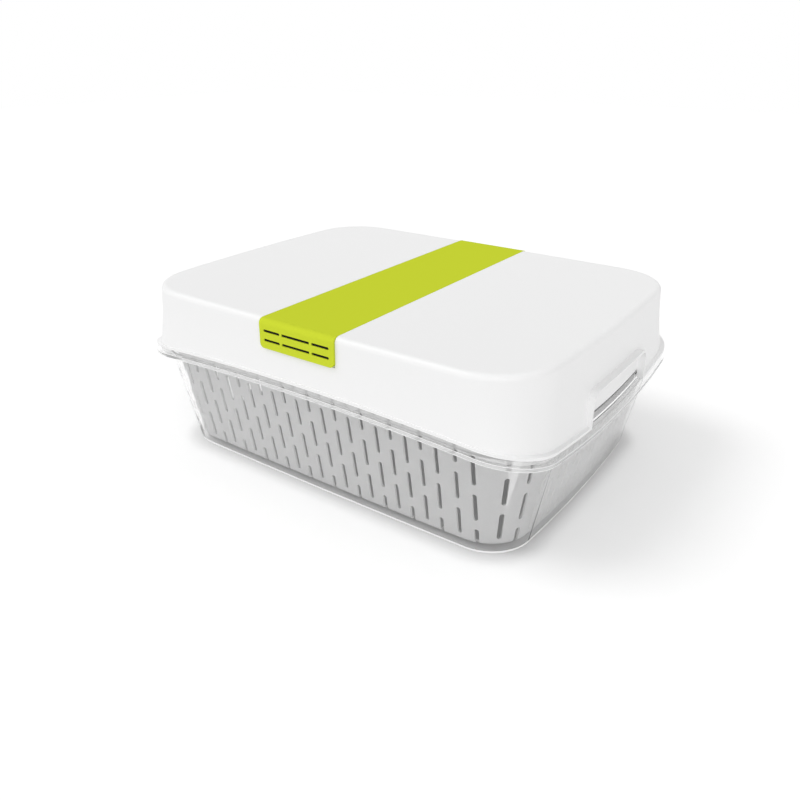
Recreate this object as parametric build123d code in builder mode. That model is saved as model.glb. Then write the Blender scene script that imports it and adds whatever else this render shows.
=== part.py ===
from build123d import *
import math
import os

os.makedirs("parts", exist_ok=True)

# Overall size in mm: X along the length, Y along the width, Z up, the foot on z = 0
length = 314.0
width = 239.0
height = 120.0
half_length = length / 2
half_width = width / 2

# Plan shape shared by every piece: gently bowed ends and sides with round corners
side_arc_radius = 7500.0
rim_end_arc = 1750.0
tub_end_arc = 1120.0
lid_top_end_arc = 1270.0

# The rim line is a saddle: high in the middle of the sides, low in the middle of the ends
rim_end_height = 61.4
rim_side_height = 76.5
rim_arch_radius = 1780.0
rim_centre_height = rim_end_height + half_length**2 / (2 * rim_arch_radius)
rim_dish_radius = half_width**2 / (2 * (rim_side_height - rim_centre_height))

# Tray
tray_wall = 1.6
tray_floor = 2.0
tray_foot_inset_end = 17.8
tray_foot_inset_side = 18.5
tray_foot_corner = 28.5
tray_lean = 0.19
tray_foot_round = 1.5
rim_corner = 34.0
flange_thickness = 2.6
neck_rise = 6.2
neck_wall = 2.0
neck_inset_end = 3.6
neck_inset_side = 2.4

# Basket
basket_wall = 1.5
basket_gap = 1.4
basket_lean = 0.17
basket_corner = 28.0
basket_foot_rise = 3.0
basket_foot_radius = 6.0
basket_foot_inset = 34.0
basket_round = 3.0
basket_rise = 9.5
basket_brim = 1.0
basket_brim_thickness = 1.5

# Slots in the basket wall
slot_width = 3.0
slot_length = 19.4
slot_row_pitch = 26.1
slot_column_pitch = 10.3
slot_low_centre = 19.8
slot_rows = 4
slot_brim_margin = 3.0
side_columns = 11
end_columns = 7
outer_column = 10
outer_column_shift = 2.0
corner_slot_angles = (25.0, 45.5)

# Lid
lid_wall = 2.0
lid_gap = 0.3
lid_inset_end = 6.7
lid_inset_side = 3.0
lid_corner = 41.0
lid_flare_end = 3.0
lid_flare_side = 2.3
lid_flare_height = 43.0
lid_flare_sections = 5
lid_corner_change = 5.0
lid_top_round = 3.5
lip_thickness = 1.7
lip_inset_end = 0.6
lip_inset_side = 0.4
spigot_drop = 1.5
spigot_wall = 0.8
grip_half_width = 42.5
grip_top = 90.0
grip_corner = 7.0
collar_thickness = 1.6
grip_back_thickness = 1.5
grip_back_rise = 12.3

# Vent band across the lid: flush with its top, its turned-down ends stand proud
band_width = 57.7
band_proud = 1.5
band_depth = 1.2
band_gap = 0.2
band_bottom = 101.7
band_corner = 3.0
louvre_heights = (107.0, 112.9)
louvre_height = 1.7
louvre_centre_length = 21.6
louvre_side_length = 13.2
louvre_bridge = 1.6
vent_window_margin = 1.6

# Working heights and margins for cutting shapes
clear_height = 95.0
overshoot = 20.0
lid_form_bottom = rim_end_height - neck_rise
arch_angle = math.degrees((half_length + overshoot) / rim_arch_radius)
lid_top = height


def outline(half_x, half_y, corner, end_arc):
    """Fill the current sketch with the bowed rectangle of these half sizes."""
    corner_x = half_x - half_y**2 / (2 * end_arc)
    corner_y = half_y - half_x**2 / (2 * side_arc_radius)
    with BuildLine() as sides:
        ThreePointArc((corner_x, -corner_y), (half_x, 0), (corner_x, corner_y))
        ThreePointArc((corner_x, corner_y), (0, half_y), (-corner_x, corner_y))
        ThreePointArc((-corner_x, corner_y), (-half_x, 0), (-corner_x, -corner_y))
        ThreePointArc((-corner_x, -corner_y), (0, -half_y), (corner_x, -corner_y))
    face = make_face(sides.edges())
    fillet(face.vertices(), corner)


def drafted_block(half_x, half_y, corner, lean, low, high, base):
    """Return a block whose walls lean out by lean per mm, with these half sizes at z = base."""
    with BuildPart() as block:
        for z in (low, high):
            grow = lean * (z - base)
            with BuildSketch(Plane.XY.offset(z)):
                outline(half_x + grow, half_y + grow, corner + grow, tub_end_arc)
        loft(ruled=True)
    return block.part


def straight_block(half_x, half_y, corner, low, high):
    """Return an upright block with the bowed outline."""
    with BuildPart() as block:
        with BuildSketch(Plane.XY.offset(low)):
            outline(half_x, half_y, corner, rim_end_arc)
        extrude(amount=high - low)
    return block.part


def saddle_layer(low, high):
    """Return the layer that lies between two heights over the rim line."""
    tilt = math.radians(arch_angle)
    reach = half_width + overshoot
    dish = reach**2 / (2 * rim_dish_radius)
    axis_height = rim_centre_height - rim_arch_radius
    section = Plane(
        origin=(0, 0, axis_height),
        x_dir=(0, 1, 0),
        z_dir=(math.cos(tilt), 0, math.sin(tilt)),
    )
    bottom = rim_arch_radius + low
    top = rim_arch_radius + high
    with BuildPart() as layer:
        with BuildSketch(section):
            with BuildLine():
                ThreePointArc((-reach, bottom + dish), (0, bottom), (reach, bottom + dish))
                Line((reach, bottom + dish), (reach, top + dish))
                ThreePointArc((reach, top + dish), (0, top), (-reach, top + dish))
                Line((-reach, top + dish), (-reach, bottom + dish))
            make_face()
        revolve(axis=Axis((0, 0, axis_height), (0, 1, 0)), revolution_arc=2 * arch_angle)
    return layer.part


def lid_form(grow):
    """Return the lid's closed form, its flared walls moved out by this much, or all of it in."""
    with BuildPart() as form:
        for section in range(lid_flare_sections):
            drop = section * (lid_top - lid_form_bottom) / (lid_flare_sections - 1)
            share = drop / lid_flare_height
            half_x = lid_half_x + lid_flare_end * share**2 + grow
            half_y = lid_half_y + lid_flare_side * share**2 + grow
            corner = lid_corner - lid_corner_change * share + grow
            end_arc = lid_top_end_arc + (rim_end_arc - lid_top_end_arc) * share
            with BuildSketch(Plane.XY.offset(lid_top - drop)):
                outline(half_x, half_y, corner, end_arc)
        loft()
        if grow < 0:
            split(bisect_by=Plane.XY.offset(lid_top + grow), keep=Keep.BOTTOM)
        fillet(form.faces().sort_by(Axis.Z)[-1].edges(), lid_top_round)
    return form.part


# Tray: a drafted tub with a saddle-shaped flange and a neck that the lid stands on
neck_half_x = half_length - neck_inset_end
neck_half_y = half_width - neck_inset_side
tray_foot_half_length = half_length - tray_foot_inset_end
tray_foot_half_width = half_width - tray_foot_inset_side
tray_outer = drafted_block(
    tray_foot_half_length, tray_foot_half_width, tray_foot_corner, tray_lean, 0.0, clear_height, 0.0
)
tray_inner = drafted_block(
    tray_foot_half_length - tray_wall,
    tray_foot_half_width - tray_wall,
    tray_foot_corner - tray_wall,
    tray_lean,
    tray_floor,
    clear_height + overshoot,
    0.0,
)
below_flange_top = saddle_layer(-height, flange_thickness)
flange_layer = saddle_layer(0.0, flange_thickness)
neck_layer = saddle_layer(0.0, neck_rise)
flange_block = straight_block(half_length, half_width, rim_corner, 0.0, clear_height)
neck_outer = straight_block(neck_half_x, neck_half_y, rim_corner - neck_inset_side, 0.0, clear_height)
neck_inner = straight_block(
    neck_half_x - neck_wall,
    neck_half_y - neck_wall,
    rim_corner - neck_inset_side - neck_wall,
    0.0,
    clear_height,
)

with BuildPart() as neck:
    add(neck_outer)
    add(neck_inner, mode=Mode.SUBTRACT)
    add(neck_layer, mode=Mode.INTERSECT)

with BuildPart() as flange:
    add(flange_block)
    add(flange_layer, mode=Mode.INTERSECT)

with BuildPart() as tray:
    add(tray_outer)
    fillet(tray.faces().sort_by(Axis.Z)[0].edges(), tray_foot_round)
    add(below_flange_top, mode=Mode.INTERSECT)
    add(flange.part)
    add(tray_inner, mode=Mode.SUBTRACT)
    add(neck.part)
tray.part.label = "tray"
export_step(tray.part, "parts/tray.step")

# Basket: stands on four feet inside the tray, brick-pattern slots all round
basket_bottom = tray_floor + basket_foot_rise
basket_inset = tray_wall + basket_gap
basket_half_x = tray_foot_half_length + tray_lean * basket_bottom - basket_inset
basket_half_y = tray_foot_half_width + tray_lean * basket_bottom - basket_inset
basket_outer = drafted_block(
    basket_half_x, basket_half_y, basket_corner, basket_lean, basket_bottom, clear_height, basket_bottom
)
basket_inner = drafted_block(
    basket_half_x - basket_wall,
    basket_half_y - basket_wall,
    basket_corner - basket_wall,
    basket_lean,
    basket_bottom + basket_wall,
    clear_height + overshoot,
    basket_bottom,
)
below_basket_top = saddle_layer(-height, basket_rise)
brim_layer = saddle_layer(basket_rise - basket_brim_thickness, basket_rise)
brim_block = drafted_block(
    basket_half_x + basket_brim,
    basket_half_y + basket_brim,
    basket_corner + basket_brim,
    basket_lean,
    basket_bottom,
    clear_height,
    basket_bottom,
)

with BuildPart() as brim:
    add(brim_block)
    add(brim_layer, mode=Mode.INTERSECT)


def column_centres(column):
    """Return the slot centre heights of a column; odd columns sit half a pitch lower."""
    first = slot_low_centre - (column % 2) * slot_row_pitch / 2
    return [first + row * slot_row_pitch for row in range(slot_rows)]


with BuildPart() as side_slots:
    with BuildSketch(Plane.XZ.offset(basket_half_y - basket_round - basket_wall)):
        for column in range(-side_columns, side_columns + 1):
            shift = outer_column_shift if column >= outer_column else 0.0
            for centre in column_centres(column):
                with Locations((column * slot_column_pitch + shift, centre)):
                    SlotOverall(slot_length, slot_width, rotation=90)
    extrude(amount=overshoot * 2)
    mirror(about=Plane.XZ)

with BuildPart() as end_slots:
    with BuildSketch(Plane.YZ.offset(basket_half_x - basket_round - basket_wall)):
        for column in range(-end_columns, end_columns + 1):
            for centre in column_centres(column + 1):
                with Locations((column * slot_column_pitch, centre)):
                    SlotOverall(slot_length, slot_width, rotation=90)
    extrude(amount=overshoot * 2)
    mirror(about=Plane.YZ)

corner_x = basket_half_x - basket_corner - basket_half_y**2 / (2 * tub_end_arc)
corner_y = basket_half_y - basket_corner - basket_half_x**2 / (2 * side_arc_radius)
with BuildPart() as corner_slots:
    for column, angle in enumerate(corner_slot_angles, start=1):
        turn = math.radians(angle)
        radial = (math.cos(turn), -math.sin(turn), 0)
        along = (math.sin(turn), math.cos(turn), 0)
        start = basket_corner - basket_round - basket_wall
        face_origin = (corner_x + start * radial[0], -corner_y + start * radial[1], 0)
        with BuildSketch(Plane(origin=face_origin, x_dir=along, z_dir=radial)):
            for centre in column_centres(column):
                with Locations((0, centre)):
                    SlotOverall(slot_length, slot_width, rotation=90)
        extrude(amount=overshoot * 2)
    mirror(about=Plane.XZ)
    mirror(about=Plane.YZ)

slot_layer = saddle_layer(-height, basket_rise - slot_brim_margin)
with BuildPart() as slots:
    add(side_slots.part)
    add(end_slots.part)
    add(corner_slots.part)
    add(slot_layer, mode=Mode.INTERSECT)

with BuildPart() as basket:
    add(basket_outer)
    fillet(basket.faces().sort_by(Axis.Z)[0].edges(), basket_round)
    add(below_basket_top, mode=Mode.INTERSECT)
    add(brim.part)
    add(basket_inner, mode=Mode.SUBTRACT)
    add(slots.part, mode=Mode.SUBTRACT)
    with BuildSketch(Plane.XY.offset(tray_floor)):
        with GridLocations(
            2 * (basket_half_x - basket_foot_inset), 2 * (basket_half_y - basket_foot_inset), 2, 2
        ):
            Circle(basket_foot_radius)
    extrude(amount=basket_foot_rise)
basket.part.label = "basket"
export_step(basket.part, "parts/basket.step")

# Lid: a shallow hood with an outward lip and a finger recess in each end
lid_half_x = half_length - lid_inset_end
lid_half_y = half_width - lid_inset_side
lid_bottom_rise = neck_rise + lid_gap
lid_outer = lid_form(0.0)
lid_hollow = lid_form(-lid_wall)
band_bed = lid_form(-band_depth)
lip_half_x = half_length - lip_inset_end
lip_half_y = half_width - lip_inset_side
lip_layer = saddle_layer(lid_bottom_rise, lid_bottom_rise + lip_thickness)
above_lid_edge = saddle_layer(lid_bottom_rise, height)
lip_block = straight_block(lip_half_x, lip_half_y, rim_corner, 0.0, height)
spigot_half_x = neck_half_x - neck_wall - lid_gap
spigot_half_y = neck_half_y - neck_wall - lid_gap
spigot_corner = rim_corner - neck_inset_side - neck_wall - lid_gap
spigot_outer = straight_block(spigot_half_x, spigot_half_y, spigot_corner, 0.0, height)
spigot_inner = straight_block(
    spigot_half_x - spigot_wall, spigot_half_y - spigot_wall, spigot_corner - spigot_wall, 0.0, height
)
spigot_layer = saddle_layer(lid_bottom_rise - spigot_drop, lid_bottom_rise + lip_thickness)

with BuildPart() as lip:
    add(lip_block)
    add(lip_layer, mode=Mode.INTERSECT)

with BuildPart() as spigot:
    add(spigot_outer)
    add(spigot_inner, mode=Mode.SUBTRACT)
    add(spigot_layer, mode=Mode.INTERSECT)


def grip_shape(grow):
    """Return the finger recess's upright shape, grown outward by this much."""
    with BuildPart() as shape:
        with BuildSketch(Plane.YZ):
            with Locations((0, (grip_top + grow) / 2)):
                RectangleRounded(2 * (grip_half_width + grow), grip_top + grow, grip_corner + grow)
        extrude(amount=length, both=True)
    return shape.part


grip_opening = grip_shape(0.0)
grip_border = grip_shape(collar_thickness)
with BuildPart() as collar:
    add(lip_block)
    add(grip_border, mode=Mode.INTERSECT)

# The recess has a back wall inside the lid, which stops just above the basket's brim
above_grip_gap = saddle_layer(grip_back_rise, height)
with BuildPart() as grip_back:
    add(lid_form(-lid_wall / 2))
    add(lid_form(-lid_wall - grip_back_thickness), mode=Mode.SUBTRACT)
    add(grip_border, mode=Mode.INTERSECT)
    add(above_grip_gap, mode=Mode.INTERSECT)

with BuildPart() as grip_core:
    add(lid_hollow)
    add(above_grip_gap, mode=Mode.INTERSECT)

with BuildPart() as grip_recess:
    add(grip_opening)
    add(grip_core.part, mode=Mode.SUBTRACT)

with BuildPart() as band_recess:
    with BuildSketch():
        Rectangle(band_width + 2 * band_gap, 2 * width)
    extrude(amount=height + overshoot)
    split(bisect_by=Plane.XY.offset(band_bottom - band_gap), keep=Keep.TOP)
    add(band_bed, mode=Mode.SUBTRACT)

louvre_span = louvre_centre_length + 2 * (louvre_bridge + louvre_side_length)
window_height = louvre_heights[-1] - louvre_heights[0] + louvre_height + 2 * vent_window_margin
with BuildPart() as vent_window:
    with BuildSketch(Plane.XZ):
        with Locations((0, sum(louvre_heights) / 2)):
            Rectangle(louvre_span + 2 * vent_window_margin, window_height)
    extrude(amount=width, both=True)

with BuildPart() as lid:
    add(lid_outer)
    add(lip.part)
    add(collar.part)
    add(lid_hollow, mode=Mode.SUBTRACT)
    add(above_lid_edge, mode=Mode.INTERSECT)
    add(spigot.part)
    add(grip_back.part)
    add(grip_recess.part, mode=Mode.SUBTRACT)
    add(band_recess.part, mode=Mode.SUBTRACT)
    add(vent_window.part, mode=Mode.SUBTRACT)
lid.part.label = "lid"
export_step(lid.part, "parts/lid.step")

# Vent band: a strap over the lid with louvres in both turned-down ends
band_outer = lid_form(band_proud)
band_under = lid_form(band_gap - band_depth)
with BuildPart() as vent_band:
    with BuildSketch(Plane.XZ):
        with Locations((0, (band_bottom + height + overshoot) / 2)):
            RectangleRounded(band_width, height + overshoot - band_bottom, band_corner)
    extrude(amount=width, both=True)
    add(band_outer, mode=Mode.INTERSECT)
    add(band_under, mode=Mode.SUBTRACT)
    side_louvre_x = (louvre_centre_length + louvre_side_length) / 2 + louvre_bridge
    with BuildSketch(Plane.XZ):
        for z in louvre_heights:
            with Locations((0, z)):
                Rectangle(louvre_centre_length, louvre_height)
            with Locations((-side_louvre_x, z), (side_louvre_x, z)):
                SlotOverall(louvre_side_length, louvre_height)
    extrude(amount=width, both=True, mode=Mode.SUBTRACT)
vent_band.part.label = "vent_band"
export_step(vent_band.part, "parts/vent_band.step")
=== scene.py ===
"""Food storage container: finishes, floor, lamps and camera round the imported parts."""

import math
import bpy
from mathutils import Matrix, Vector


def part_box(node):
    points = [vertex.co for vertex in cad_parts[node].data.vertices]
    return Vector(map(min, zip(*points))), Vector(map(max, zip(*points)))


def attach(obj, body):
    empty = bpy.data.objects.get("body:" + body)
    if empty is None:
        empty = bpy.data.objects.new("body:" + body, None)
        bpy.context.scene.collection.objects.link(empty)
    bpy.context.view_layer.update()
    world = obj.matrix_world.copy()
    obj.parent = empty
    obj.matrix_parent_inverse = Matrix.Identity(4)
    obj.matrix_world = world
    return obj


bl_info = {
    "name": "Food storage container",
    "version": (1, 0, 0),
    "blender": (4, 5, 0),
    "location": "3D View > Sidebar > Container",
    "description": "Finishes and lights a clear tray, strainer basket, hooded lid and vent band",
    "category": "Object",
}

import bpy
from mathutils import Vector

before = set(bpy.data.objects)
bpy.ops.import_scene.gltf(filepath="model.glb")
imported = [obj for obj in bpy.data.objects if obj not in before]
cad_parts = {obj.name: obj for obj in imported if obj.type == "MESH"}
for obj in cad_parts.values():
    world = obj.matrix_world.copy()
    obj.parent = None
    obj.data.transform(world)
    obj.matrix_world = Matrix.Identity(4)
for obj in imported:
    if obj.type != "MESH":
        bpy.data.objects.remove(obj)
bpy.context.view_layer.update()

MM = 0.001

# A painted highlight line keeps this far from the flat face beside it.
HAIR = 0.01 * MM
# How far a face's normal has to agree with a direction to count as facing that way.
UPRIGHT_FACING = 0.3
SIDEWAYS_FACING = 0.7
# A plate's edges are rounded by this share of its thickness, in this many steps.
ROUNDING_SHARE = 0.3
ROUNDING_STEPS = 3
SMOOTH_ANGLE = math.radians(40)
# Points whose places across agree to this many digits of a metre are in one row of a bar.
ROW_DIGITS = 7
# A strength of 1 shows as plain white.
WHITE_LEVEL = 1.0
# The camera's sensor width in mm, and the nearest place that it still sees.
SENSOR_WIDTH = 36.0
NEAREST_SEEN = 10 * MM


def linear_colour(text):
    """Turn an sRGB hex colour into the linear one that Blender's sockets hold."""
    channels = []
    for start in (1, 3, 5):
        value = int(text[start : start + 2], 16) / 255
        channels.append(value / 12.92 if value <= 0.04045 else ((value + 0.055) / 1.055) ** 2.4)
    return (*channels, 1.0)


def add_node(tree, kind, inputs=None, **settings):
    """Add a node with its settings, and fill or link its inputs by name or number."""
    node = tree.nodes.new(kind)
    for name, value in settings.items():
        setattr(node, name, value)
    for name, value in (inputs or {}).items():
        if isinstance(value, bpy.types.NodeSocket):
            tree.links.new(value, node.inputs[name])
        else:
            node.inputs[name].default_value = value
    return node


def new_tree(name):
    """Return a fresh material and its empty node tree."""
    material = bpy.data.materials.new(name)
    material.use_nodes = True
    material.node_tree.nodes.clear()
    return material, material.node_tree


def finish_node(name, material):
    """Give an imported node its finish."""
    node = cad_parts[name]
    for place in node.material_slots:
        place.material = material


def moulded_grain(tree, grain, depth, detail=2.0):
    """Return place, pattern and bumped normal for a spark-eroded mould face, sized in metres."""
    place = add_node(tree, "ShaderNodeTexCoord").outputs["Object"]
    pattern = add_node(
        tree, "ShaderNodeTexNoise", {"Vector": place, "Scale": 1 / grain, "Detail": detail}
    )
    bump = add_node(
        tree,
        "ShaderNodeBump",
        {"Height": pattern.outputs["Fac"], "Strength": 1.0, "Distance": depth},
    )
    return place, pattern.outputs["Fac"], bump.outputs["Normal"]


def spread(tree, value, low, high):
    """Return a value that follows a pattern between two ends."""
    span = add_node(tree, "ShaderNodeMapRange", {"Value": value, "To Min": low, "To Max": high})
    return span.outputs["Result"]


def tinted(tree, value, dark, light):
    """Return a colour that follows a pattern between two colours."""
    ramp = add_node(tree, "ShaderNodeValToRGB", {"Fac": value})
    ramp.color_ramp.elements[0].color = dark
    ramp.color_ramp.elements[1].color = light
    return ramp.outputs["Color"]


def darker(colour, share):
    """Return a colour with this share of its light."""
    return (*(channel * share for channel in colour[:3]), 1.0)


def measured(tree, operation, *values):
    """Return the result of a sum done on numbers or sockets."""
    node = add_node(tree, "ShaderNodeMath", dict(enumerate(values)), operation=operation)
    return node.outputs[0]


def between(tree, value, low, high):
    """Return 1 where a value lies between two ends, and 0 elsewhere."""
    over = measured(tree, "GREATER_THAN", value, low)
    under = measured(tree, "LESS_THAN", value, high)
    return measured(tree, "MULTIPLY", over, under)


class ContainerFinishes(bpy.types.PropertyGroup):
    """Colours and sizes of the finishes, the dark strips put in the louvres as painted shade, and
    the brim's lips.
    """

    tray_tint: bpy.props.FloatVectorProperty(
        name="Tray tint",
        description="Colour that the clear plastic gives to what is seen through it",
        subtype="COLOR",
        size=4,
        min=0.0,
        max=1.0,
        default=linear_colour("#FFFFFF"),
    )
    # Painted light: the white of the highlight lines painted on the tray's edges and of the
    # lightening painted over its rim.
    painted_light_colour: bpy.props.FloatVectorProperty(
        name="Tray edge colour",
        description="Colour of the lit edges of the clear plastic",
        subtype="COLOR",
        size=4,
        min=0.0,
        max=1.0,
        default=linear_colour("#FCFCFC"),
    )
    foot_tint: bpy.props.FloatVectorProperty(
        name="Foot tint",
        description="Share of the light that gets through a face of the thick foot",
        subtype="COLOR",
        size=4,
        min=0.0,
        max=1.0,
        default=linear_colour("#EEEEEE"),
    )
    # Painted light: the share of white painted over the thick rim, which lightens it.
    rim_painted_light: bpy.props.FloatProperty(
        name="Rim haze",
        description="How much the thick rim of the tray scatters light",
        subtype="FACTOR",
        min=0.0,
        max=1.0,
        default=0.4,
    )
    rim_arch_radius: bpy.props.FloatProperty(
        name="Rim arch",
        description="Radius of the rim line along the container, which drops to the ends",
        subtype="DISTANCE",
        unit="LENGTH",
        default=1780.0 * MM,
    )
    rim_dish_radius: bpy.props.FloatProperty(
        name="Rim dish",
        description="Radius of the rim line across the container, which rises to the sides",
        subtype="DISTANCE",
        unit="LENGTH",
        default=873.0 * MM,
    )
    rim_centre_height: bpy.props.FloatProperty(
        name="Rim height",
        description="Height of the rim line's middle over the foot",
        subtype="DISTANCE",
        unit="LENGTH",
        default=68.32 * MM,
    )
    flange_thickness: bpy.props.FloatProperty(
        name="Flange thickness",
        description="Thickness of the flange round the tray",
        subtype="DISTANCE",
        unit="LENGTH",
        default=2.6 * MM,
    )
    # Painted highlight: width of the white lines painted on the flange's edges.
    edge_width: bpy.props.FloatProperty(
        name="Edge width",
        description="Width of the lit edges of the flange",
        subtype="DISTANCE",
        unit="LENGTH",
        default=0.35 * MM,
    )
    # Up to this height the foot is painted with a white highlight line; the foot tint below it
    # only dims light passing through.
    foot_edge: bpy.props.FloatProperty(
        name="Foot edge",
        description="Height of the lit edge round the foot of the tray",
        subtype="DISTANCE",
        unit="LENGTH",
        default=2.4 * MM,
    )
    basket_colour: bpy.props.FloatVectorProperty(
        name="Basket colour",
        description="Colour of the frosted plastic",
        subtype="COLOR",
        size=4,
        min=0.0,
        max=1.0,
        default=linear_colour("#E1E1E1"),
    )
    basket_milk: bpy.props.FloatProperty(
        name="Basket milkiness",
        description="Share of the light that passes through the basket's milky wall",
        subtype="FACTOR",
        min=0.0,
        max=1.0,
        default=0.35,
    )
    # Past these places sideways faces count as slot faces, which get painted light.
    basket_wall_places: bpy.props.FloatVectorProperty(
        name="Basket wall places",
        description="From the middle, the least place of the long walls and that of the end walls",
        unit="LENGTH",
        size=2,
        default=(93.0 * MM, 132.0 * MM),
    )
    lid_colour: bpy.props.FloatVectorProperty(
        name="Lid colour",
        description="Colour of the white plastic",
        subtype="COLOR",
        size=4,
        min=0.0,
        max=1.0,
        default=linear_colour("#F4F4F4"),
    )
    band_colour: bpy.props.FloatVectorProperty(
        name="Vent band colour",
        description="Colour of the vent band",
        subtype="COLOR",
        size=4,
        min=0.0,
        max=1.0,
        default=linear_colour("#CCD938"),
    )
    # Painted shade: the dark colour of the strips put behind the louvres for the shade in them.
    louvre_shade_colour: bpy.props.FloatVectorProperty(
        name="Foam colour",
        description="Colour of the filter foam in the grilles",
        subtype="COLOR",
        size=4,
        min=0.0,
        max=1.0,
        default=linear_colour("#1A1A1A"),
    )
    foam_pore: bpy.props.FloatProperty(
        name="Foam pore",
        description="Size of a pore in the filter foam",
        subtype="DISTANCE",
        unit="LENGTH",
        default=0.8 * MM,
    )
    louvre_lengths: bpy.props.FloatVectorProperty(
        name="Louvre lengths",
        description="Lengths of the middle louvre of a row and of the two beside it",
        unit="LENGTH",
        size=2,
        default=(21.6 * MM, 13.2 * MM),
    )
    louvre_bridge: bpy.props.FloatProperty(
        name="Louvre bridge",
        description="Width of the bridge between two louvres of a row",
        subtype="DISTANCE",
        unit="LENGTH",
        default=1.6 * MM,
    )
    louvre_heights: bpy.props.FloatVectorProperty(
        name="Louvre heights",
        description="Heights of the two louvre rows over the foot",
        unit="LENGTH",
        size=2,
        default=(107.0 * MM, 112.9 * MM),
    )
    foam_height: bpy.props.FloatProperty(
        name="Foam height",
        description="Height of a foam strip, which is squeezed into its louvre",
        subtype="DISTANCE",
        unit="LENGTH",
        default=2.0 * MM,
    )
    foam_thickness: bpy.props.FloatProperty(
        name="Foam thickness",
        description="Thickness of a foam strip, less than that of the band's end",
        subtype="DISTANCE",
        unit="LENGTH",
        default=1.5 * MM,
    )
    foam_setback: bpy.props.FloatProperty(
        name="Foam setback",
        description="From the outermost face of the band's end to the face of the foam",
        subtype="DISTANCE",
        unit="LENGTH",
        default=0.9 * MM,
    )
    lip_length: bpy.props.FloatProperty(
        name="Brim lip length",
        description="Length of the thick lip in the middle of each end of the basket's brim",
        subtype="DISTANCE",
        unit="LENGTH",
        default=82.0 * MM,
    )
    lip_height: bpy.props.FloatProperty(
        name="Brim lip height",
        description="Height of the lip on the basket's brim",
        subtype="DISTANCE",
        unit="LENGTH",
        default=5.4 * MM,
    )
    lip_thickness: bpy.props.FloatProperty(
        name="Brim lip thickness",
        description="Thickness of the lip on the basket's brim",
        subtype="DISTANCE",
        unit="LENGTH",
        default=2.4 * MM,
    )
    lip_reach: bpy.props.FloatProperty(
        name="Brim lip reach",
        description="From the middle of the container to the outer face of the lip",
        subtype="DISTANCE",
        unit="LENGTH",
        default=150.9 * MM,
    )
    lip_cuts: bpy.props.IntProperty(
        name="Brim lip cuts",
        description="Number of cuts along the lip, which let it follow the bowed brim",
        min=1,
        default=15,
    )
    lip_top: bpy.props.FloatProperty(
        name="Brim lip top",
        description="Height of the lip's top edge over the foot, level with the brim",
        subtype="DISTANCE",
        unit="LENGTH",
        default=71.4 * MM,
    )
    basket_end_arc: bpy.props.FloatProperty(
        name="Basket end arc",
        description="Radius of the bow of the basket's ends",
        subtype="DISTANCE",
        unit="LENGTH",
        default=1120.0 * MM,
    )
    satin_grain: bpy.props.FloatProperty(
        name="Satin grain",
        description="Size of the fine grain on the lid and the vent band",
        subtype="DISTANCE",
        unit="LENGTH",
        default=0.6 * MM,
    )
    frost_grain: bpy.props.FloatProperty(
        name="Frost grain",
        description="Size of the coarser grain on the basket",
        subtype="DISTANCE",
        unit="LENGTH",
        default=1.2 * MM,
    )


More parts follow.
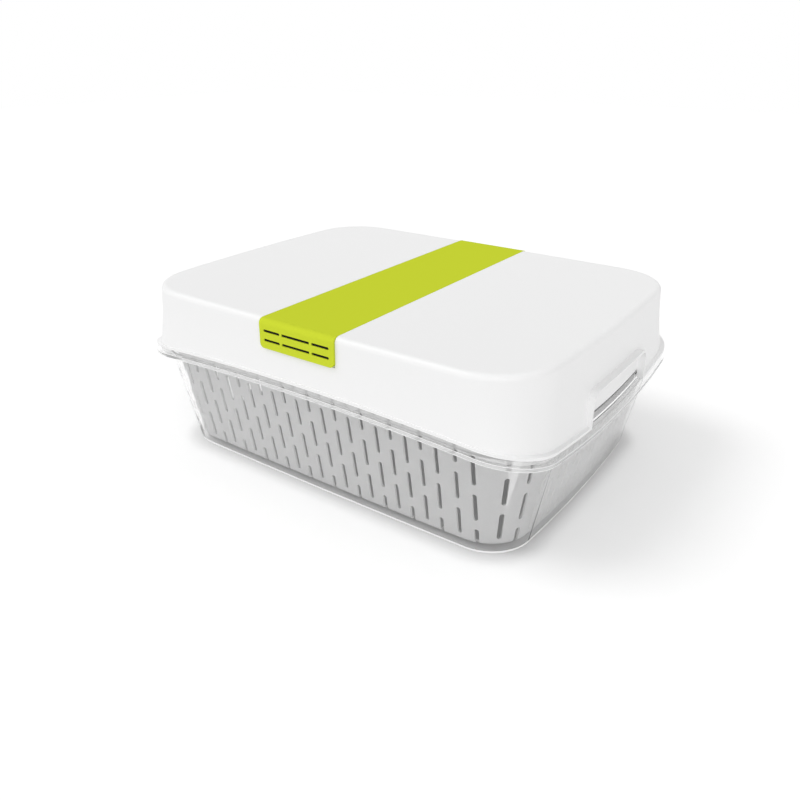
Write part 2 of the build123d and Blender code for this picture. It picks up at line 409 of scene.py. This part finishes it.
class ContainerStage(bpy.types.PropertyGroup):
    """Sizes and levels of the floor, the lamps and the camera."""

    floor_size: bpy.props.FloatProperty(
        name="Floor size",
        description="Side of the square floor",
        subtype="DISTANCE",
        unit="LENGTH",
        default=6.0,
    )
    floor_gap: bpy.props.FloatProperty(
        name="Floor gap",
        description="From the foot of the tray down to the floor",
        subtype="DISTANCE",
        unit="LENGTH",
        default=0.1 * MM,
    )
    floor_colour: bpy.props.FloatVectorProperty(
        name="Floor colour",
        description="Colour of the paper floor",
        subtype="COLOR",
        size=4,
        min=0.0,
        max=1.0,
        default=linear_colour("#F6F6F6"),
    )
    room_level: bpy.props.FloatProperty(
        name="Room light",
        description="Level of the even light from all round",
        default=0.6,
    )
    floor_lift: bpy.props.FloatProperty(
        name="Floor lift",
        description="Glow that brings the lit floor up to white where it is seen",
        default=0.2,
    )
    foot_half_size: bpy.props.FloatVectorProperty(
        name="Foot half size",
        description="Half the length and half the width of the tray's foot",
        unit="LENGTH",
        size=2,
        default=(137.5 * MM, 101.0 * MM),
    )
    foot_corner: bpy.props.FloatProperty(
        name="Foot corner",
        description="Corner radius of the tray's foot",
        subtype="DISTANCE",
        unit="LENGTH",
        default=28.5 * MM,
    )
    # Painted shadow: width of the contact shadow painted round the foot by fading the floor's
    # glow.
    painted_shadow_reach: bpy.props.FloatProperty(
        name="Contact shadow",
        description="Width of the narrow shadow round the foot",
        subtype="DISTANCE",
        unit="LENGTH",
        default=14.0 * MM,
    )
    side_strength: bpy.props.FloatProperty(
        name="Side lamp",
        description="Strength of the broad lamp on the left, which throws the shadow",
        default=0.92,
    )
    side_direction: bpy.props.FloatVectorProperty(
        name="Side lamp direction",
        description="Azimuth from the front to the right, and elevation, of the side lamp",
        unit="ROTATION",
        size=2,
        default=(math.radians(-58.0), math.radians(52.0)),
    )
    side_width: bpy.props.FloatProperty(
        name="Side lamp width",
        description="How wide the side lamp looks from the container",
        subtype="ANGLE",
        default=math.radians(28.0),
    )
    front_strength: bpy.props.FloatProperty(
        name="Front lamp",
        description="Strength of the broad lamp on the camera's side",
        default=0.9,
    )
    front_direction: bpy.props.FloatVectorProperty(
        name="Front lamp direction",
        description="Azimuth from the front to the right, and elevation, of the front lamp",
        unit="ROTATION",
        size=2,
        default=(math.radians(43.0), math.radians(20.0)),
    )
    front_width: bpy.props.FloatProperty(
        name="Front lamp width",
        description="How wide the front lamp looks from the container",
        subtype="ANGLE",
        default=math.radians(60.0),
    )
    camera_azimuth: bpy.props.FloatProperty(
        name="Camera azimuth",
        description="How far the camera stands round to the right of the front",
        subtype="ANGLE",
        default=math.radians(35.48),
    )
    camera_elevation: bpy.props.FloatProperty(
        name="Camera elevation",
        description="How far the camera looks down",
        subtype="ANGLE",
        default=math.radians(26.0),
    )
    camera_distance: bpy.props.FloatProperty(
        name="Camera distance",
        description="From the camera to the point that it looks at",
        subtype="DISTANCE",
        unit="LENGTH",
        default=508.22 * MM,
    )
    camera_target: bpy.props.FloatVectorProperty(
        name="Camera target",
        description="The point that the camera looks at",
        subtype="TRANSLATION",
        unit="LENGTH",
        default=(18.84 * MM, -39.2 * MM, 47.81 * MM),
    )
    lens: bpy.props.FloatProperty(
        name="Lens",
        description="Focal length in mm on a sensor 36 mm wide",
        default=33.46,
    )


def rounded_plate(name, centre, size, cuts=0):
    """Add a plate with softly rounded edges and cuts across it, its place in its mesh."""
    bpy.ops.object.select_all(action="DESELECT")
    bpy.ops.mesh.primitive_cube_add(size=1.0, location=centre)
    plate = bpy.context.object
    plate.name = name
    plate.scale = size
    bpy.ops.object.transform_apply(location=True, rotation=True, scale=True)
    if cuts:
        bpy.ops.object.mode_set(mode="EDIT")
        bpy.ops.mesh.select_all(action="SELECT")
        bpy.ops.mesh.subdivide(number_cuts=cuts)
        bpy.ops.object.mode_set(mode="OBJECT")
    rounding = plate.modifiers.new("rounding", "BEVEL")
    rounding.limit_method = "ANGLE"
    rounding.width = min(size) * ROUNDING_SHARE
    rounding.segments = ROUNDING_STEPS
    bpy.ops.object.modifier_apply(modifier=rounding.name)
    bpy.ops.object.shade_smooth_by_angle(angle=SMOOTH_ANGLE)
    return plate


def bowed(bar, inward_radius, upward_radius):
    """Bow a bar that lies across the container, so that its ends go inwards and upwards."""
    side = math.copysign(1.0, bar.data.vertices[0].co.x)
    rows = {}
    for vertex in bar.data.vertices:
        rows.setdefault(round(vertex.co.y, ROW_DIGITS), []).append(vertex.index)
    for y, row in rows.items():
        bpy.ops.object.mode_set(mode="EDIT")
        bpy.ops.mesh.select_mode(type="VERT")
        bpy.ops.mesh.select_all(action="DESELECT")
        bpy.ops.object.mode_set(mode="OBJECT")
        for index in row:
            bar.data.vertices[index].select = True
        bpy.ops.object.mode_set(mode="EDIT")
        shift = (-side * y**2 / (2 * inward_radius), 0.0, y**2 / (2 * upward_radius))
        bpy.ops.transform.translate(value=shift)
        bpy.ops.object.mode_set(mode="OBJECT")


def joined(pieces, name):
    """Join separate pieces into one of this name."""
    bpy.ops.object.select_all(action="DESELECT")
    for piece in pieces:
        piece.select_set(True)
    bpy.context.view_layer.objects.active = pieces[0]
    bpy.ops.object.join()
    pieces[0].name = name
    return pieces[0]


def rim_rise(tree, place, finishes):
    """Return the height over the tray's saddle-shaped rim line."""
    axes = add_node(tree, "ShaderNodeSeparateXYZ", {"Vector": place}).outputs
    arch = measured(tree, "MULTIPLY", axes["X"], axes["X"])
    arch = measured(tree, "DIVIDE", arch, 2 * finishes.rim_arch_radius)
    dish = measured(tree, "MULTIPLY", axes["Y"], axes["Y"])
    dish = measured(tree, "DIVIDE", dish, 2 * finishes.rim_dish_radius)
    line = measured(tree, "SUBTRACT", dish, arch)
    line = measured(tree, "ADD", line, finishes.rim_centre_height)
    return measured(tree, "SUBTRACT", axes["Z"], line)


def outward(tree, place):
    """Return 1 on upright faces that look away from the middle of the container, else 0."""
    geometry = add_node(tree, "ShaderNodeNewGeometry").outputs
    level = add_node(
        tree, "ShaderNodeVectorMath", {0: place, 1: (1.0, 1.0, 0.0)}, operation="MULTIPLY"
    ).outputs["Vector"]
    away = add_node(
        tree, "ShaderNodeVectorMath", {0: level}, operation="NORMALIZE"
    ).outputs["Vector"]
    facing = add_node(
        tree, "ShaderNodeVectorMath", {0: geometry["Normal"], 1: away}, operation="DOT_PRODUCT"
    ).outputs["Value"]
    upright = measured(tree, "GREATER_THAN", facing, UPRIGHT_FACING)
    front = measured(tree, "SUBTRACT", 1.0, geometry["Backfacing"])
    return measured(tree, "MULTIPLY", upright, front)


class CONTAINER_OT_clear_tray(bpy.types.Operator):
    """Finish the tray as clear polished styrene acrylonitrile, with painted highlight lines on its
    edges and painted light on its rim
    """

    bl_idname = "container.clear_tray"
    bl_label = "Clear tray"

    def execute(self, context):
        finishes = context.scene.container_finishes
        material, tree = new_tree("clear_styrene_acrylonitrile_polished")
        # The mould is polished, so only a slow waviness of the wall bends the highlights.
        place, pattern, normal = moulded_grain(tree, grain=30 * MM, depth=0.02 * MM, detail=1.0)
        glass = add_node(
            tree,
            "ShaderNodeBsdfPrincipled",
            {
                "Base Color": finishes.tray_tint,
                "Roughness": spread(tree, pattern, 0.01, 0.05),
                "IOR": 1.5,
                "Transmission Weight": 1.0,
                "Normal": normal,
            },
        )
        # Lamps reach the basket straight through the wall, but the thick foot stops some light.
        height = add_node(tree, "ShaderNodeSeparateXYZ", {"Vector": place}).outputs["Z"]
        passing = add_node(
            tree,
            "ShaderNodeMix",
            {
                "Factor": measured(tree, "GREATER_THAN", height, finishes.foot_edge),
                "A": finishes.foot_tint,
                "B": finishes.tray_tint,
            },
            data_type="RGBA",
        )
        clear = add_node(tree, "ShaderNodeBsdfTransparent", {"Color": passing.outputs["Result"]})
        # White lines are painted on the flange's edges and round the foot: painted highlights.
        rise = rim_rise(tree, place, finishes)
        line = finishes.edge_width
        thickness = finishes.flange_thickness
        lower = between(tree, rise, HAIR, line)
        upper = between(tree, rise, thickness - line, thickness - HAIR)
        foot = between(tree, height, HAIR, finishes.foot_edge)
        painted_edge_highlights = measured(tree, "MAXIMUM", measured(tree, "MAXIMUM", lower, upper), foot)
        # Outward faces above the rim line are painted partly white: painted light that lightens
        # the thick rim.
        thick = measured(tree, "GREATER_THAN", rise, 0.0)
        painted_rim_light = measured(tree, "MULTIPLY", thick, finishes.rim_painted_light)
        # Where this mask is set, a white diffuse shader is mixed in: painted highlights on the
        # edges and painted light on the rim.
        white = measured(tree, "MAXIMUM", painted_edge_highlights, painted_rim_light)
        white = measured(tree, "MULTIPLY", white, outward(tree, place))
        glow = add_node(
            tree, "ShaderNodeBsdfDiffuse", {"Color": finishes.painted_light_colour, "Normal": normal}
        )
        body = add_node(
            tree, "ShaderNodeMixShader", {0: white, 1: glass.outputs[0], 2: glow.outputs[0]}
        )
        path = add_node(tree, "ShaderNodeLightPath").outputs
        lets_light = measured(tree, "MAXIMUM", path["Is Shadow Ray"], path["Is Diffuse Ray"])
        mixed = add_node(
            tree, "ShaderNodeMixShader", {0: lets_light, 1: body.outputs[0], 2: clear.outputs[0]}
        )
        add_node(tree, "ShaderNodeOutputMaterial", {"Surface": mixed.outputs[0]})
        finish_node("tray", material)
        return {"FINISHED"}


class CONTAINER_OT_frosted_basket(bpy.types.Operator):
    """Finish the strainer basket as frosted polypropylene"""

    bl_idname = "container.frosted_basket"
    bl_label = "Frosted basket"

    def execute(self, context):
        finishes = context.scene.container_finishes
        material, tree = new_tree("frosted_polypropylene_moulded")
        # Natural polypropylene is milky: some light passes, and the eroded mould face dulls it.
        place, pattern, normal = moulded_grain(tree, finishes.frost_grain, depth=0.12 * MM)
        light = finishes.basket_colour
        colour = tinted(tree, pattern, darker(light, 0.9), light)
        surface = add_node(
            tree,
            "ShaderNodeBsdfPrincipled",
            {
                "Base Color": colour,
                "Roughness": spread(tree, pattern, 0.45, 0.65),
                "IOR": 1.49,
                "Normal": normal,
            },
        )
        milky = add_node(tree, "ShaderNodeBsdfTranslucent", {"Color": colour, "Normal": normal})
        # The slot faces are left out of the milky share, so they render paler than the wall:
        # painted light on the slot faces.
        axes = add_node(tree, "ShaderNodeSeparateXYZ", {"Vector": place}).outputs
        looks = add_node(tree, "ShaderNodeNewGeometry").outputs["Normal"]
        turned = add_node(tree, "ShaderNodeSeparateXYZ", {"Vector": looks}).outputs
        slot_faces = []
        for along, across, wall in zip("XY", "YX", finishes.basket_wall_places):
            sideways = measured(tree, "ABSOLUTE", turned[along])
            sideways = measured(tree, "GREATER_THAN", sideways, SIDEWAYS_FACING)
            out = measured(tree, "ABSOLUTE", axes[across])
            out = measured(tree, "GREATER_THAN", out, wall)
            slot_faces.append(measured(tree, "MULTIPLY", sideways, out))
        slot_faces_lightened = measured(tree, "MAXIMUM", *slot_faces)
        passes = measured(tree, "SUBTRACT", 1.0, slot_faces_lightened)
        passes = measured(tree, "MULTIPLY", passes, finishes.basket_milk)
        mixed = add_node(
            tree,
            "ShaderNodeMixShader",
            {0: passes, 1: surface.outputs[0], 2: milky.outputs[0]},
        )
        add_node(tree, "ShaderNodeOutputMaterial", {"Surface": mixed.outputs[0]})
        finish_node("basket", material)
        return {"FINISHED"}


class CONTAINER_OT_brim_lips(bpy.types.Operator):
    """Thicken the basket's brim under each finger recess, where it nearly meets the tray's neck"""

    bl_idname = "container.brim_lips"
    bl_label = "Brim lips"

    def execute(self, context):
        finishes = context.scene.container_finishes
        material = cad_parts["basket"].material_slots[0].material
        size = (finishes.lip_thickness, finishes.lip_length, finishes.lip_height)
        height = finishes.lip_top - finishes.lip_height / 2
        reach = finishes.lip_reach - finishes.lip_thickness / 2
        for name, x in (("basket_lip_left", -reach), ("basket_lip_right", reach)):
            lip = rounded_plate(name, (x, 0.0, height), size, cuts=finishes.lip_cuts)
            bowed(lip, finishes.basket_end_arc, finishes.rim_dish_radius)
            lip.data.materials.append(material)
            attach(lip, "basket")
        return {"FINISHED"}


def satin_polypropylene(name, colour, grain, sheen_level):
    """Return satin moulded polypropylene: opaque, with a soft sheen from a fine mould grain."""
    material, tree = new_tree(name)
    _, pattern, normal = moulded_grain(tree, grain, depth=0.03 * MM)
    surface = add_node(
        tree,
        "ShaderNodeBsdfPrincipled",
        {
            "Base Color": tinted(tree, pattern, darker(colour, 0.97), colour),
            "Roughness": spread(tree, pattern, 0.38, 0.52),
            "IOR": 1.49,
            "Specular IOR Level": sheen_level,
            "Normal": normal,
        },
    )
    add_node(tree, "ShaderNodeOutputMaterial", {"Surface": surface.outputs[0]})
    return material


class CONTAINER_OT_white_lid(bpy.types.Operator):
    """Finish the lid as satin white polypropylene"""

    bl_idname = "container.white_lid"
    bl_label = "White lid"

    def execute(self, context):
        finishes = context.scene.container_finishes
        material = satin_polypropylene(
            "white_polypropylene_satin", finishes.lid_colour, finishes.satin_grain, sheen_level=0.5
        )
        finish_node("lid", material)
        return {"FINISHED"}


class CONTAINER_OT_vent_band(bpy.types.Operator):
    """Finish the vent band as satin coloured polypropylene"""

    bl_idname = "container.vent_band"
    bl_label = "Vent band"

    def execute(self, context):
        finishes = context.scene.container_finishes
        # The pigment is strong and the grain dull, so the white room hardly pales it.
        material = satin_polypropylene(
            "lime_polypropylene_satin", finishes.band_colour, finishes.satin_grain, sheen_level=0.0
        )
        finish_node("vent_band", material)
        return {"FINISHED"}


class CONTAINER_OT_filter_foam(bpy.types.Operator):
    """Add dark foam-textured strips in the louvres of the two grilles, put in for the shade there
    """

    bl_idname = "container.filter_foam"
    bl_label = "Filter foam"

    def execute(self, context):
        finishes = context.scene.container_finishes
        material, tree = new_tree("dark_louvre_strips_foam_textured")
        # Dark strips with a foam-like pore texture sit behind the louvres, a dark piece put in for
        # the shade there, so the grilles look black.
        place = add_node(tree, "ShaderNodeTexCoord").outputs["Object"]
        pores = add_node(
            tree, "ShaderNodeTexVoronoi", {"Vector": place, "Scale": 1 / finishes.foam_pore}
        )
        bump = add_node(
            tree,
            "ShaderNodeBump",
            {"Height": pores.outputs["Distance"], "Strength": 1.0, "Distance": 0.4 * MM},
        )
        foam = add_node(
            tree,
            "ShaderNodeBsdfPrincipled",
            {
                "Base Color": finishes.louvre_shade_colour,
                "Roughness": spread(tree, pores.outputs["Distance"], 0.85, 1.0),
                "Specular IOR Level": 0.1,
                "Normal": bump.outputs["Normal"],
            },
        )
        add_node(tree, "ShaderNodeOutputMaterial", {"Surface": foam.outputs[0]})

        band_low, band_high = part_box("vent_band")
        middle, beside = finishes.louvre_lengths
        step = (middle + beside) / 2 + finishes.louvre_bridge
        depth = finishes.foam_setback + finishes.foam_thickness / 2
        front, back = band_low[1] + depth, band_high[1] - depth
        # The two rows of dark strips stand in for the shade behind the grilles.
        for name, y in (("louvre_shade_front", front), ("louvre_shade_back", back)):
            strips = []
            for height in finishes.louvre_heights:
                for x, length in ((-step, beside), (0.0, middle), (step, beside)):
                    size = (length, finishes.foam_thickness, finishes.foam_height)
                    strips.append(rounded_plate(name, (x, y, height), size))
            foam_piece = joined(strips, name)
            foam_piece.data.materials.append(material)
            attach(foam_piece, "vent_band")
        return {"FINISHED"}


def background_rays(tree):
    """Return 1 for the rays by which the background is seen, directly or in gloss and glass."""
    path = add_node(tree, "ShaderNodeLightPath").outputs
    direct = measured(tree, "MAXIMUM", path["Is Camera Ray"], path["Is Glossy Ray"])
    return measured(tree, "MAXIMUM", direct, path["Is Transmission Ray"])


def direction(azimuth, elevation):
    """Return the unit vector towards an azimuth, counted from the front to the right."""
    return Vector(
        (
            math.sin(azimuth) * math.cos(elevation),
            -math.cos(azimuth) * math.cos(elevation),
            math.sin(elevation),
        )
    )


def add_lamp(name, azimuth, elevation, width, strength):
    """Add a far lamp that shines from this direction and looks this wide."""
    place = direction(azimuth, elevation)
    bpy.ops.object.light_add(
        type="SUN", location=place, rotation=place.to_track_quat("Z", "Y").to_euler()
    )
    lamp = bpy.context.object
    lamp.name = name
    lamp.data.angle = width
    lamp.data.energy = strength


class CONTAINER_OT_stage(bpy.types.Operator):
    """Add the white floor, the room light, two soft lamps and the camera"""

    bl_idname = "container.stage"
    bl_label = "Stage"

    def execute(self, context):
        stage = context.scene.container_stage
        bpy.ops.object.select_all(action="DESELECT")
        # A hair under the foot, so that the clear tray's flat face and the floor share no plane.
        bpy.ops.mesh.primitive_plane_add(
            size=stage.floor_size, location=(0.0, 0.0, -stage.floor_gap)
        )
        floor = context.object
        floor.name = "floor"
        material, tree = new_tree("white_studio_floor")
        paper = add_node(
            tree, "ShaderNodeBsdfDiffuse", {"Color": stage.floor_colour, "Roughness": 0.0}
        )
        # The glow fades out close to the foot, which paints a narrow contact shadow round it.
        place = add_node(tree, "ShaderNodeTexCoord").outputs["Object"]
        axes = add_node(tree, "ShaderNodeSeparateXYZ", {"Vector": place}).outputs
        beyond = []
        for axis, half in zip("XY", stage.foot_half_size):
            side = measured(tree, "ABSOLUTE", axes[axis])
            side = measured(tree, "SUBTRACT", side, half - stage.foot_corner)
            side = measured(tree, "MAXIMUM", side, 0.0)
            beyond.append(measured(tree, "MULTIPLY", side, side))
        away = measured(tree, "SQRT", measured(tree, "ADD", *beyond))
        away = measured(tree, "SUBTRACT", away, stage.foot_corner)
        painted_contact_shadow = add_node(
            tree,
            "ShaderNodeMapRange",
            {"Value": away, "From Min": 0.0, "From Max": stage.painted_shadow_reach},
            interpolation_type="SMOOTHSTEP",
        )
        lift = measured(tree, "MULTIPLY", background_rays(tree), stage.floor_lift)
        lift = measured(tree, "MULTIPLY", lift, painted_contact_shadow.outputs["Result"])
        glow = add_node(tree, "ShaderNodeEmission", {"Strength": lift})
        lit = add_node(tree, "ShaderNodeAddShader", {0: paper.outputs[0], 1: glow.outputs[0]})
        add_node(tree, "ShaderNodeOutputMaterial", {"Surface": lit.outputs[0]})
        floor.data.materials.append(material)

        world = bpy.data.worlds.new("white_room")
        world.use_nodes = True
        context.scene.world = world
        tree = world.node_tree
        tree.nodes.clear()
        level = spread(tree, background_rays(tree), stage.room_level, WHITE_LEVEL)
        white = linear_colour("#FFFFFF")
        room = add_node(tree, "ShaderNodeBackground", {"Color": white, "Strength": level})
        add_node(tree, "ShaderNodeOutputWorld", {"Surface": room.outputs[0]})

        add_lamp("side_lamp", *stage.side_direction, stage.side_width, stage.side_strength)
        add_lamp("front_lamp", *stage.front_direction, stage.front_width, stage.front_strength)

        azimuth = stage.camera_azimuth
        elevation = stage.camera_elevation
        back = direction(azimuth, elevation)
        place = Vector(stage.camera_target) + back * stage.camera_distance
        bpy.ops.object.camera_add(location=place, rotation=(math.pi / 2 - elevation, 0.0, azimuth))
        camera = context.object
        camera.name = "camera"
        camera.data.sensor_width = SENSOR_WIDTH
        camera.data.lens = stage.lens
        camera.data.clip_start = NEAREST_SEEN
        context.scene.camera = camera
        context.scene.view_settings.view_transform = "Standard"
        return {"FINISHED"}


STEPS = (
    CONTAINER_OT_clear_tray,
    CONTAINER_OT_frosted_basket,
    CONTAINER_OT_brim_lips,
    CONTAINER_OT_white_lid,
    CONTAINER_OT_vent_band,
    CONTAINER_OT_filter_foam,
    CONTAINER_OT_stage,
)


class CONTAINER_PT_panel(bpy.types.Panel):
    """Lists the sizes, colours and steps of the container"""

    bl_label = "Food storage container"
    bl_idname = "CONTAINER_PT_panel"
    bl_space_type = "VIEW_3D"
    bl_region_type = "UI"
    bl_category = "Container"

    def draw(self, context):
        """Draw each value, and a button for each step."""
        layout = self.layout
        for group in (context.scene.container_finishes, context.scene.container_stage):
            for name in group.__annotations__:
                layout.prop(group, name)
        for step in STEPS:
            layout.operator(step.bl_idname)


CLASSES = (ContainerFinishes, ContainerStage, *STEPS, CONTAINER_PT_panel)


def register():
    """Register the classes and hang their values on the scene."""
    for item in CLASSES:
        bpy.utils.register_class(item)
    bpy.types.Scene.container_finishes = bpy.props.PointerProperty(type=ContainerFinishes)
    bpy.types.Scene.container_stage = bpy.props.PointerProperty(type=ContainerStage)


def unregister():
    """Take the values off the scene and unregister the classes."""
    del bpy.types.Scene.container_stage
    del bpy.types.Scene.container_finishes
    for item in reversed(CLASSES):
        bpy.utils.unregister_class(item)


def main():
    """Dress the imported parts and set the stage."""
    register()
    bpy.ops.container.clear_tray()
    bpy.ops.container.frosted_basket()
    bpy.ops.container.brim_lips()
    bpy.ops.container.white_lid()
    bpy.ops.container.vent_band()
    bpy.ops.container.filter_foam()
    bpy.ops.container.stage()


if __name__ == "__main__":
    main()
